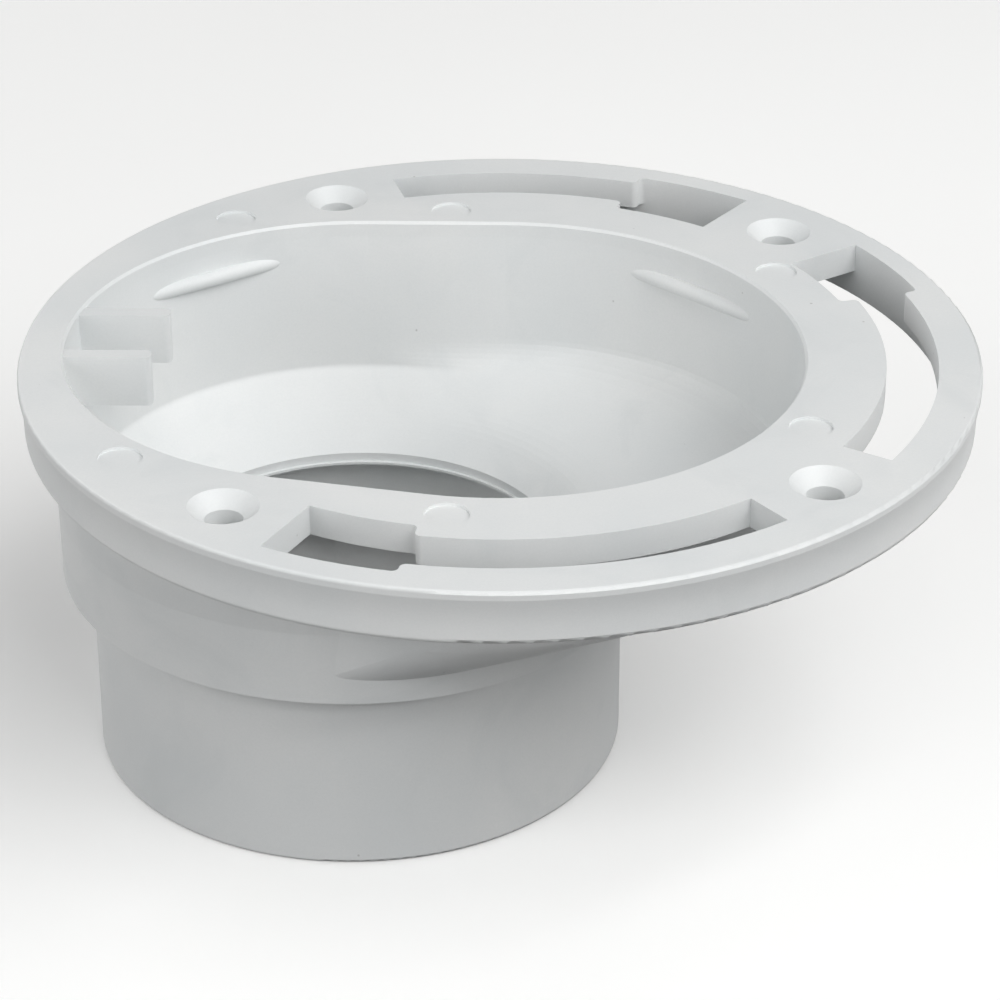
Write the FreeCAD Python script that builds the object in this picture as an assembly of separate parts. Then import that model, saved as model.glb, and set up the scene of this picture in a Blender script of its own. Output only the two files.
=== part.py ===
import FreeCAD, Part
import math
import os

# Offset closet flange in white PVC, for a 3 or 4 inch soil pipe.
# Three mouldings are solvent-welded into one fitting: the closet ring that the
# toilet bolts to, the offset bowl under it, and the pipe hub.
# Millimetres, +Z up. The origin is on the ring's axis, level with the hub's
# bottom end. The hub's axis lies along -X from the ring's axis.

# ---- driving dimensions -------------------------------------------------
# whole fitting
ring_diameter = 178.0
total_height = 82.5
hub_offset = 27.6

# closet ring: a flat plate with a skirt hanging from its edge
plate_thickness = 5.6
rim_height = 10.8
rim_wall = 5.2
rim_draft = 0.75
rim_edge_round = 0.6
rim_foot_round = 1.2
cove_height = 7.4
cove_depth = 0.25
cove_top_drop = 1.6

# closet-bolt slots: a narrow arc that opens into a wide arc for the bolt head
bolt_circle_diameter = 152.4
slot_width = 9.6
slot_entry_width = 15.9
slot_entry_reach = 7.6
slot_corner_round = 1.2
slots = [
    # entry end, step between the two widths, far end (degrees, in the order met)
    ("front", 248.3, 265.2, 313.9),
    ("right", 40.2, 24.4, -25.4),
    ("back", 60.4, 76.8, 112.6),
]

# floor-screw holes on the bolt circle
screw_angles = [238.6, 324.5, 50.4, 122.6]
screw_hole_diameter = 6.8
screw_head_diameter = 12.7
screw_head_depth = 2.6

# shallow round marks left by the mould's ejector pins, in two rows
ejector_diameter = 8.0
ejector_depth = 0.5
ejector_mouth_gap = 6.8
ejector_bolt_gap = 2.6
ejector_angles_by_mouth = [39.2, -22.2, -91.3, 105.8]
ejector_angles_by_bolts = [139.0, -140.6]

# mouth: one outline round two circles, on the ring's axis and on the hub's
mouth_radius = 56.5
mouth_hub_radius = 53.7
mouth_edge_round = 0.5

# offset bowl: an oval wall over a sloping floor, and a round basin over the hub
bowl_wall = 4.0
outside_draft = 6.0
hub_side_wall = 5.5
bowl_seat = 2.4
wall_depth = 27.8
wall_draft = 2.8
floor_thickness = 2.2
hub_side_wall_depth = 31.4
basin_slope = 7.4
basin_depth = 38.0
floor_ease = 2.5
hub_side_ease = 0.5
basin_ease = 2.0
shoulder_overhang = 5.5
shoulder_depth = 44.2
turn_ease = 1.2

# two short ribs on the wall beyond the hub
rib_length = 17.3
rib_thickness = 3.3
rib_spacing = 17.8
rib_depth = 9.9
rib_top_drop = 0.4
rib_skew = 6.0
rib_nose_round = 1.1

# straight bars that stand proud of the curved wall: they hold a test cap
bar_radius = 1.5
bar_depth = 7.9
bar_half_span = 16.5
bar_main_angle = 53.6
bar_hub_angle = 130.6

# pipe hub
hub_diameter = 101.6
hub_wall = 6.2
hub_seat = 2.6
hub_spigot_wall = 3.9
hub_edge_round = 0.8
hub_mouth_chamfer = 1.0
outlet_depth = 44.2
outlet_band = 1.8
stop_width = 6.0
stop_ledge = 0.6
stop_thickness = 0.5
nose_wall = 4.0

# ---- places that follow from them ---------------------------------------
ring_radius = ring_diameter / 2
top = total_height
plate_bottom = top - plate_thickness
bowl_top = plate_bottom + bowl_seat
turn_z = top - wall_depth - floor_thickness
bolt_radius = bolt_circle_diameter / 2
skirt_inner = ring_radius - rim_wall
hub_radius = hub_diameter / 2
socket_radius = hub_radius - hub_wall
spigot_radius = socket_radius + hub_spigot_wall
outlet_radius = socket_radius - stop_width
nose_radius = outlet_radius + nose_wall
basin_radius = outlet_radius + basin_slope
shoulder_radius = hub_radius + shoulder_overhang
draft_slope = math.tan(math.radians(wall_draft))
junction_z = top - wall_depth
hub_junction_z = top - hub_side_wall_depth
foot_radius = mouth_radius - draft_slope * (bowl_top - junction_z)
foot_hub_radius = mouth_hub_radius - draft_slope * (bowl_top - hub_junction_z)
basin_z = top - basin_depth
keel_z = basin_z - floor_thickness
shoulder_z = top - shoulder_depth
seat_z = shoulder_z + hub_seat
outlet_z = top - outlet_depth
ledge_z = outlet_z - outlet_band
stop_z = ledge_z - stop_thickness
hub_axis = FreeCAD.Vector(-hub_offset, 0, 0)
up = FreeCAD.Vector(0, 0, 1)
slack = 1.0


def at(radius, degrees, z=0.0, centre_x=0.0):
    """A point at a radius and angle about a vertical axis at (centre_x, 0)."""
    a = math.radians(degrees)
    return FreeCAD.Vector(centre_x + radius * math.cos(a), radius * math.sin(a), z)


def arc(radius, start, end, z, centre_x):
    """A horizontal arc from one angle to another."""
    middle = at(radius, (start + end) / 2, z, centre_x)
    return Part.Arc(at(radius, start, z, centre_x), middle, at(radius, end, z, centre_x)).toShape()


def outline(main_radius, hub_side_radius, z, main_x=0.0):
    """The outline round a circle at main_x, which is the ring's axis, and one on the hub's."""
    lean = math.degrees(math.asin((main_radius - hub_side_radius) / (main_x + hub_offset)))
    tangent = 90 + lean
    right = arc(main_radius, -tangent, tangent, z, main_x)
    left = arc(hub_side_radius, tangent, 360 - tangent, z, -hub_offset)
    back = Part.makeLine(at(main_radius, tangent, z, main_x), at(hub_side_radius, tangent, z, -hub_offset))
    front = Part.makeLine(at(hub_side_radius, -tangent, z, -hub_offset), at(main_radius, -tangent, z, main_x))
    return Part.Wire([right, back, left, front])


def hub_circle(radius, z):
    """A circle on the hub's axis, in four arcs that follow on from the outline's four pieces."""
    first, second = 89.5, 90.5
    cuts = [(-first, first), (first, second), (second, 360 - second), (360 - second, 360 - first)]
    return Part.Wire([arc(radius, a, b, z, -hub_offset) for a, b in cuts])


def eased(z, knots, eases):
    """The value at z on the line through (z, value) knots, falling, with its inner corners eased."""
    spans = list(zip(knots, knots[1:]))
    slopes = [(v1 - v0) / (z1 - z0) for (z0, v0), (z1, v1) in spans]
    for (corner, value), ease, above, below in zip(knots[1:-1], eases, slopes, slopes[1:]):
        t = z - corner
        if abs(t) < ease:
            return value + (above + below) / 2 * t + (above - below) * (t * t + ease * ease) / (4 * ease)
    for ((z0, v0), (z1, v1)), slope in zip(spans, slopes):
        if z >= z1:
            return v0 + slope * (z - z0)
    return v1


def between(lower, upper):
    """A solid with straight rulings between two wires."""
    return Part.makeLoft([lower, upper], True, True)


def revolve(points, axis_x=0.0):
    """Turn a closed profile, given as (radius, z) points and 3-point arcs, about Z."""
    edges = []
    for item in points:
        ends = [FreeCAD.Vector(axis_x + r, 0, z) for r, z in item]
        if len(ends) == 3:
            edges.append(Part.Arc(*ends).toShape())
        else:
            edges.append(Part.makeLine(*ends))
    face = Part.Face(Part.Wire(edges))
    return face.revolve(FreeCAD.Vector(axis_x, 0, 0), up, 360)


def chain(*items):
    """Join (radius, z) points by lines; a triple (start, middle, end) is an arc."""
    pieces = []
    last = None
    for item in items:
        is_arc = isinstance(item[0], tuple)
        start = item[0] if is_arc else item
        if last is not None and last != start:
            pieces.append((last, start))
        if is_arc:
            pieces.append(item)
        last = item[2] if is_arc else item
    first = items[0][0] if isinstance(items[0][0], tuple) else items[0]
    if last != first:
        pieces.append((last, first))
    return pieces


def quarter_round(radius, z, size, rise):
    """A rounded outer corner of a profile; rise is 1 on a lower corner and -1 on an upper."""
    bend = size * (1 - math.sqrt(0.5))
    flat_end = (radius - size, z)
    side_end = (radius, z + rise * size)
    middle = (radius - bend, z + rise * bend)
    return (flat_end, middle, side_end) if rise > 0 else (side_end, middle, flat_end)


def sector(inner, outer, start, end, z_low, z_high):
    """A slot-shaped block between two radii and two angles."""
    low, high = min(start, end), max(start, end)
    height = z_high - z_low
    origin = FreeCAD.Vector(0, 0, z_low)
    block = Part.makeCylinder(outer, height, origin, up, high - low)
    block = block.cut(Part.makeCylinder(inner, height, origin, up, 360))
    block.rotate(FreeCAD.Vector(0, 0, 0), up, low)
    return block


def upright_edges(shape, degrees, tolerance=0.2):
    """The vertical edges of a shape that lie at one angle about Z."""
    found = []
    for edge in shape.Edges:
        a, b = edge.Vertexes[0].Point, edge.Vertexes[-1].Point
        if abs(a.z - b.z) < 0.5 or math.hypot(a.x - b.x, a.y - b.y) > 0.01:
            continue
        gap = (math.degrees(math.atan2(a.y, a.x)) - degrees + 180) % 360 - 180
        if abs(gap) < tolerance:
            found.append(edge)
    return found


# ---- closet ring ----------------------------------------------------------
def ring_blank():
    """The plate and its skirt, with the shallow cove round the outside."""
    foot = ring_radius - rim_draft
    bottom = top - rim_height
    cove_top = top - cove_top_drop
    cove_bottom = cove_top - cove_height
    cove = (
        (foot, cove_bottom),
        ((ring_radius + foot) / 2 - cove_depth, (cove_top + cove_bottom) / 2),
        (ring_radius, cove_top),
    )
    return revolve(chain(
        (mouth_radius - bowl_wall, plate_bottom),
        (skirt_inner, plate_bottom),
        (skirt_inner, bottom),
        quarter_round(foot, bottom, rim_foot_round, 1),
        cove,
        quarter_round(ring_radius, top, rim_edge_round, -1),
        (mouth_radius - bowl_wall, top),
    ))


def bolt_slot(entry_end, step, far_end):
    """One closet-bolt slot, through the plate and clear of the skirt."""
    low, high = plate_bottom - slack, top + slack
    entry_outer = bolt_radius + slot_entry_reach
    entry_inner = entry_outer - slot_entry_width
    narrow = sector(bolt_radius - slot_width / 2, bolt_radius + slot_width / 2, step, far_end, low, high)
    wide = sector(entry_inner, entry_outer, entry_end, step, low, high)
    slot = narrow.fuse(wide).removeSplitter()
    return slot.makeFillet(slot_corner_round, upright_edges(slot, step))


def screw_hole(angle):
    """A countersunk hole for a floor screw."""
    r = screw_hole_diameter / 2
    head = screw_head_diameter / 2
    hole = Part.makeCylinder(r, plate_thickness + 2 * slack, at(bolt_radius, angle, plate_bottom - slack))
    grow = slack * (head - r) / screw_head_depth
    cone_height = screw_head_depth + slack
    cone = Part.makeCone(r, head + grow, cone_height, at(bolt_radius, angle, top - screw_head_depth))
    return hole.fuse(cone)


def ejector_mark(radius, angle):
    return Part.makeCylinder(ejector_diameter / 2, ejector_depth + slack, at(radius, angle, top - ejector_depth))


def mouth_opening():
    """The mouth through the plate, with its upper edge eased."""
    straight = between(outline(mouth_radius, mouth_hub_radius, plate_bottom - slack),
                       outline(mouth_radius, mouth_hub_radius, top + slack))
    ease_to = mouth_edge_round + slack
    ease = between(outline(mouth_radius, mouth_hub_radius, top - mouth_edge_round),
                   outline(mouth_radius + ease_to, mouth_hub_radius + ease_to, top + slack))
    return straight.fuse(ease)


def flange_ring():
    ring = ring_blank()
    cuts = [mouth_opening(), bowl_outside()]
    cuts += [bolt_slot(*angles) for name, *angles in slots]
    cuts += [screw_hole(angle) for angle in screw_angles]
    cuts += [ejector_mark(mouth_radius + ejector_mouth_gap, angle) for angle in ejector_angles_by_mouth]
    cuts += [ejector_mark(bolt_radius + ejector_bolt_gap, angle) for angle in ejector_angles_by_bolts]
    return ring.cut(cuts)


# ---- offset bowl ------------------------------------------------------------
def eased_heights(corners):
    """The heights of the outlines that round off each (height, ease) corner."""
    steps = 5
    return [z + ease * (2 * i / steps - 1) for z, ease in corners for i in range(steps + 1)]


def shelf_level(z):
    """The outside of the oval wall and its sloping underside at one height."""
    low = (keel_z, shoulder_radius - slack / 2)
    taper = math.tan(math.radians(outside_draft)) * (bowl_top - turn_z)
    top_main = mouth_radius + bowl_wall
    top_side = mouth_hub_radius + hub_side_wall - slack
    if z <= keel_z:
        return hub_circle(low[1], z)
    main_x = eased(z, [(bowl_top, 0.0), (turn_z, 0.0), (keel_z, -hub_offset)], [turn_ease])
    main = eased(z, [(bowl_top, top_main), (turn_z, top_main - taper), low], [turn_ease])
    side = eased(z, [(bowl_top, top_side), (turn_z, top_side - taper), low], [turn_ease])
    return outline(main, side, z, main_x)


def bowl_outside():
    """The bowl's outer form: a round basin over the hub, and the oval wall's sloping shelf."""
    basin_top_radius = mouth_hub_radius + hub_side_wall
    taper = math.tan(math.radians(outside_draft)) * (bowl_top - turn_z)
    basin = revolve(chain(
        (0.0, shoulder_z),
        (shoulder_radius, shoulder_z),
        (basin_top_radius - taper, turn_z),
        (basin_top_radius, bowl_top),
        (0.0, bowl_top),
    ), -hub_offset)
    heights = [bowl_top, keel_z] + eased_heights([(turn_z, turn_ease)])
    shelf = Part.makeLoft([shelf_level(z) for z in sorted(heights)], True, True)
    return basin.fuse(shelf)


def water_level(z):
    """The waterway's outline at one height: oval at the mouth, and round where the basin ends."""
    low = [(basin_z, basin_radius), (outlet_z, outlet_radius)]
    centre = [(bowl_top, 0.0), (junction_z, 0.0), (basin_z, -hub_offset), (outlet_z, -hub_offset)]
    main_x = eased(z, centre, [floor_ease, basin_ease])
    main = eased(z, [(bowl_top, mouth_radius), (junction_z, foot_radius)] + low, [floor_ease, basin_ease])
    side = eased(z, [(bowl_top, mouth_hub_radius), (hub_junction_z, foot_hub_radius)] + low,
                 [hub_side_ease, basin_ease])
    if z <= basin_z - basin_ease:
        return hub_circle(side, z)
    return outline(main, side, z, main_x)


def waterway():
    """The space inside the bowl, from the mouth down to the outlet."""
    heights = [bowl_top, outlet_z] + eased_heights([
        (junction_z, floor_ease),
        (hub_junction_z, hub_side_ease),
        (basin_z, basin_ease),
    ])
    return Part.makeLoft([water_level(z) for z in sorted(heights)], True, True)


def rib(side):
    """One wall rib, its top just under the ring's, its nose towards the outlet."""
    reach = rib_length + 2 * bowl_wall
    box = Part.makeBox(reach, rib_thickness, rib_depth, FreeCAD.Vector(-reach, -rib_thickness / 2, 0))
    nose = [e for e in box.Edges if all(abs(v.X) < 0.01 for v in e.Vertexes) and e.Vertexes[0].Z != e.Vertexes[-1].Z]
    box = box.makeFillet(rib_nose_round, nose)
    box.rotate(FreeCAD.Vector(0, 0, 0), up, rib_skew)
    nose_x = -hub_offset - mouth_hub_radius + rib_length
    box.translate(FreeCAD.Vector(nose_x, side * rib_spacing / 2, top - rib_top_drop - rib_depth))
    in_mouth = between(outline(mouth_radius, mouth_hub_radius, bowl_top),
                       outline(mouth_radius, mouth_hub_radius, top + slack))
    return box.common(in_mouth.fuse(bowl_outside()))


def wall_bar(wall_radius, centre_x, angle):
    """A straight round bar laid as a chord across the curved wall."""
    half = math.radians(bar_half_span)
    distance = wall_radius * math.cos(half) + bar_radius
    length = 2 * wall_radius * math.sin(half) + 2 * bar_radius
    bar = Part.makeCylinder(bar_radius, length, FreeCAD.Vector(0, -length / 2, 0), FreeCAD.Vector(0, 1, 0))
    bar.translate(FreeCAD.Vector(distance, 0, top - bar_depth))
    bar.rotate(FreeCAD.Vector(0, 0, 0), up, angle)
    bar.translate(FreeCAD.Vector(centre_x, 0, 0))
    return bar.common(bowl_outside())


def offset_bowl():
    shell = bowl_outside().cut(waterway())
    seat = Part.makeCylinder(spigot_radius, hub_seat + slack, hub_axis + up * (shoulder_z - slack))
    nose = Part.makeCylinder(nose_radius, basin_radius, hub_axis + up * shoulder_z)
    shell = shell.cut([seat, nose])
    extras = [rib(side) for side in (1, -1)]
    for side in (1, -1):
        extras.append(wall_bar(mouth_radius, 0.0, side * bar_main_angle))
        extras.append(wall_bar(mouth_hub_radius, -hub_offset, side * bar_hub_angle))
    return shell.fuse(extras)


# ---- pipe hub ---------------------------------------------------------------
def pipe_hub():
    """Fits inside a 4 inch pipe, or takes a 3 inch pipe up to its stop."""
    slope = (outlet_depth - basin_depth) / (basin_radius - outlet_radius)
    nose_top = outlet_z + (nose_radius - outlet_radius) * slope
    return revolve(chain(
        (socket_radius + hub_mouth_chamfer, 0.0),
        quarter_round(hub_radius, 0.0, hub_edge_round, 1),
        (hub_radius, shoulder_z),
        (spigot_radius, shoulder_z),
        (spigot_radius, seat_z),
        (nose_radius, seat_z),
        (nose_radius, nose_top),
        (outlet_radius, outlet_z),
        (outlet_radius, ledge_z),
        (outlet_radius - stop_ledge, ledge_z),
        (outlet_radius - stop_ledge, stop_z),
        (socket_radius, stop_z),
        (socket_radius, hub_mouth_chamfer),
    ), -hub_offset)


nodes = {
    "flange_ring": flange_ring(),
    "offset_bowl": offset_bowl(),
    "pipe_hub": pipe_hub(),
}

os.makedirs("parts", exist_ok=True)
for name, shape in nodes.items():
    solids = shape.Solids
    print(name, "solids", len(solids), "valid", shape.isValid(), "volume %.0f mm3" % shape.Volume)
    solid = solids[0] if len(solids) == 1 else Part.makeCompound(solids)
    solid.exportStep("parts/%s.step" % name)
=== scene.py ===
import bpy
import math
from mathutils import Matrix, Vector

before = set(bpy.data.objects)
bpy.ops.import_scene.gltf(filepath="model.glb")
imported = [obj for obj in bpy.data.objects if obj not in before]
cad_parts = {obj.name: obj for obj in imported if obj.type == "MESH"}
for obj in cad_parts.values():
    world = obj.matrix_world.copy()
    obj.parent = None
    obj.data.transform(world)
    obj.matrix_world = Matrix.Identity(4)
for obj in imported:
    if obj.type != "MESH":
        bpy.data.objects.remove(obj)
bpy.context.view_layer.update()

# Metres, in the fitting's own frame: +Z up, the ring's axis at x = 0, the hub along -X.
MM = 0.001


# ---- shader helpers -------------------------------------------------------
class Wire:
    """A node's output socket that Python's operators extend with Math nodes."""

    def __init__(self, paint, socket):
        self.paint = paint
        self.socket = socket

    def _math(self, operation, first, second):
        return self.paint.add("ShaderNodeMath", {0: first, 1: second}, operation=operation)

    def __add__(self, other):
        return self._math("ADD", self, other)

    def __radd__(self, other):
        return self._math("ADD", other, self)

    def __sub__(self, other):
        return self._math("SUBTRACT", self, other)

    def __rsub__(self, other):
        return self._math("SUBTRACT", other, self)

    def __mul__(self, other):
        return self._math("MULTIPLY", self, other)

    def __rmul__(self, other):
        return self._math("MULTIPLY", other, self)


class Paint:
    """One material's node tree, with one method that adds any node."""

    def __init__(self, name):
        self.material = bpy.data.materials.new(name)
        self.material.use_nodes = True
        self.tree = self.material.node_tree
        self.tree.nodes.clear()
        self.shader = self.tree.nodes.new("ShaderNodeBsdfPrincipled")
        output = self.tree.nodes.new("ShaderNodeOutputMaterial")
        self.tree.links.new(self.shader.outputs[0], output.inputs["Surface"])
        self.place = self.add("ShaderNodeTexCoord", output="Object")

    def feed(self, socket, value):
        if isinstance(value, Wire):
            self.tree.links.new(value.socket, socket)
        else:
            socket.default_value = value

    def add(self, kind, sockets=None, output=0, stops=None, **settings):
        """A node with its settings made first, then its sockets' values or links."""
        node = self.tree.nodes.new(kind)
        for name, value in settings.items():
            setattr(node, name, value)
        if stops:
            ramp = node.color_ramp.elements
            while len(ramp) < len(stops):
                ramp.new(0.5)
            for element, (position, colour) in zip(ramp, stops):
                element.position = position
                element.color = colour
        for name, value in (sockets or {}).items():
            self.feed(node.inputs[name], value)
        return Wire(self, node.outputs[output])

    def noise(self, scale, detail=2.0, roughness=0.5):
        return self.add("ShaderNodeTexNoise", {
            "Vector": self.place, "Scale": scale, "Detail": detail, "Roughness": roughness})

    def finish(self, **sockets):
        for name, value in sockets.items():
            self.feed(self.shader.inputs[name.replace("_", " ")], value)
        return self.material


# ---- the finish -------------------------------------------------------------
WHITE = (0.82, 0.83, 0.825, 1.0)
WHITE_SHADE = (0.765, 0.785, 0.787, 1.0)
FLOW_GREY = (0.65, 0.68, 0.685, 1.0)
SPECK_BROWN = (0.20, 0.19, 0.17, 1.0)

# How many of each feature go in a metre, roughly.
CLOUDS_PER_METRE = 24.0
STREAKS_PER_METRE = 34.0
WAVES_PER_METRE = 60.0
SHEEN_PER_METRE = 140.0
PEEL_PER_METRE = 700.0
GRAIN_PER_METRE = 2300.0

# Cells in a metre, a speck's radius in cells, and the share of cells with one.
LARGE_SPECKS = (300.0, 0.10, 0.10)
SMALL_SPECKS = (700.0, 0.14, 0.03)

BUMP_HEIGHT = 0.1 * MM
PVC_IOR = 1.53


def mixed(paint, amount, first, second):
    """One colour turning into another."""
    return paint.add("ShaderNodeMix", {0: amount, 6: first, 7: second}, output=2, data_type="RGBA")


def specks(paint, scale, size, share):
    """Small dark specks: one in the middle of some of the cells."""
    cell = {"Vector": paint.place, "Scale": scale}
    distance = paint.add("ShaderNodeTexVoronoi", cell, output="Distance")
    lot = paint.add("ShaderNodeTexVoronoi", cell, output="Color")
    dot = paint.add("ShaderNodeMapRange", {
        "Value": distance, "From Min": size * 0.5, "From Max": size, "To Min": 1.0, "To Max": 0.0})
    return dot * paint.add("ShaderNodeMath", {0: lot, 1: 1.0 - share}, operation="GREATER_THAN")


def moulded_pvc(name):
    """Satin white PVC with faint clouding, flow marks, a fine grain, and scattered specks."""
    paint = Paint(name)
    clouds = paint.add("ShaderNodeValToRGB", {"Fac": paint.noise(CLOUDS_PER_METRE, 3.0)}, stops=[
        (0.35, WHITE_SHADE), (0.65, WHITE)])
    streaks = paint.add("ShaderNodeTexNoise", {
        "Vector": paint.place, "Scale": STREAKS_PER_METRE, "Detail": 4.0,
        "Roughness": 0.55, "Distortion": 1.6})
    marked = paint.add("ShaderNodeMapRange", {
        "Value": streaks, "From Min": 0.54, "From Max": 0.72, "To Min": 0.0, "To Max": 0.25})
    grain = paint.noise(GRAIN_PER_METRE, 3.0, 0.7)
    colour = mixed(paint, marked, clouds, FLOW_GREY)
    colour = mixed(paint, (grain - 0.35) * 0.5, colour, FLOW_GREY)
    dots = specks(paint, *LARGE_SPECKS) + specks(paint, *SMALL_SPECKS)
    colour = mixed(paint, dots * 0.4, colour, SPECK_BROWN)
    peel = paint.noise(PEEL_PER_METRE, 2.0)
    waves = paint.noise(WAVES_PER_METRE, 1.0)
    height = grain * 0.25 + peel * 0.3 + waves * 0.45
    normal = paint.add("ShaderNodeBump", {"Height": height, "Strength": 0.35, "Distance": BUMP_HEIGHT})
    return paint.finish(
        Base_Color=colour,
        Roughness=0.40 + paint.noise(SHEEN_PER_METRE) * 0.14,
        Normal=normal,
        IOR=PVC_IOR,
        Specular_IOR_Level=0.42,
    )


pvc = moulded_pvc("white_pvc")
for node in ("flange_ring", "offset_bowl", "pipe_hub"):
    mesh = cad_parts[node].data
    mesh.materials.clear()
    mesh.materials.append(pvc)


# ---- camera -------------------------------------------------------------------
SENSOR = 36.0
FOCAL = 126.8
VIEW_AZIMUTH = math.radians(6.91)
VIEW_ELEVATION = math.radians(28.96)
VIEW_DISTANCE = 653.1 * MM
VIEW_RISE = -27.92 * MM
RING_TOP = 82.5 * MM


def place_camera():
    back = Vector((
        math.sin(VIEW_AZIMUTH) * math.cos(VIEW_ELEVATION),
        -math.cos(VIEW_AZIMUTH) * math.cos(VIEW_ELEVATION),
        math.sin(VIEW_ELEVATION),
    ))
    right = Vector((math.cos(VIEW_AZIMUTH), math.sin(VIEW_AZIMUTH), 0.0))
    upward = back.cross(right)
    camera = bpy.data.objects.new("camera", bpy.data.cameras.new("camera"))
    camera.data.lens = FOCAL
    camera.data.sensor_width = SENSOR
    camera.data.clip_start = 10 * MM
    turn = Matrix((right, upward, back)).transposed().to_4x4()
    eye = Vector((0.0, 0.0, RING_TOP)) + back * VIEW_DISTANCE + upward * VIEW_RISE
    camera.matrix_world = Matrix.Translation(eye) @ turn
    bpy.context.scene.collection.objects.link(camera)
    bpy.context.scene.camera = camera


# ---- floor and light ------------------------------------------------------------
FLOOR_HALF = 3.0
FLOOR_SHADE = (0.90, 0.90, 0.89, 1.0)
FLOOR_PALE = (0.93, 0.93, 0.92, 1.0)


def lay_floor():
    """A plain pale floor that throws no light of its own back onto the fitting."""
    half = FLOOR_HALF
    corners = [(-half, -half, 0), (half, -half, 0), (half, half, 0), (-half, half, 0)]
    mesh = bpy.data.meshes.new("floor")
    mesh.from_pydata(corners, [], [(0, 1, 2, 3)])
    floor = bpy.data.objects.new("floor", mesh)
    bpy.context.scene.collection.objects.link(floor)
    paint = Paint("pale_floor")
    shade = paint.add("ShaderNodeValToRGB", {"Fac": paint.noise(3.0)}, stops=[
        (0.3, FLOOR_SHADE), (0.7, FLOOR_PALE)])
    glow = {"Emission_Color": (1.0, 1.0, 1.0, 1.0), "Emission_Strength": 0.16}
    mesh.materials.append(paint.finish(Base_Color=shade, Roughness=0.85, **glow))
    floor.visible_diffuse = False


LAMP_DISTANCE = 1.5
LAMP_SIDE = 1.2
LAMP_AIM = Vector((0.0, 0.0, 50 * MM))
LAMPS = {
    # azimuth from +X and elevation in degrees, watts
    "key": (-45, 50, 14.5),
    "front_right": (-45, 20, 3.0),
    "right_high": (0, 50, 4.5),
    "right_low": (0, 20, 3.3),
    "back_right": (45, 50, 2.0),
    "back_left": (135, 20, 5.1),
    "left": (180, 35, 0.9),
    "front_left": (-135, 20, 11.0),
}


def softbox(name, azimuth, elevation, watts):
    """A square soft light aimed at the middle of the fitting."""
    turn, rise = math.radians(azimuth), math.radians(elevation)
    level = math.cos(rise)
    away = Vector((level * math.cos(turn), level * math.sin(turn), math.sin(rise)))
    lamp = bpy.data.lights.new(name, "AREA")
    lamp.shape = "SQUARE"
    lamp.size = LAMP_SIDE
    lamp.energy = watts
    light = bpy.data.objects.new(name, lamp)
    facing = (-away).to_track_quat("-Z", "Y").to_matrix().to_4x4()
    light.matrix_world = Matrix.Translation(LAMP_AIM + away * LAMP_DISTANCE) @ facing
    bpy.context.scene.collection.objects.link(light)


def light_the_set():
    for name, (azimuth, elevation, watts) in LAMPS.items():
        softbox(name, azimuth, elevation, watts)
    world = bpy.data.worlds.new("studio")
    world.use_nodes = True
    sky = world.node_tree.nodes["Background"]
    sky.inputs["Color"].default_value = (0.97, 0.98, 1.0, 1.0)
    sky.inputs["Strength"].default_value = 0.03
    bpy.context.scene.world = world
    bpy.context.scene.view_settings.view_transform = "Standard"


place_camera()
lay_floor()
light_the_set()
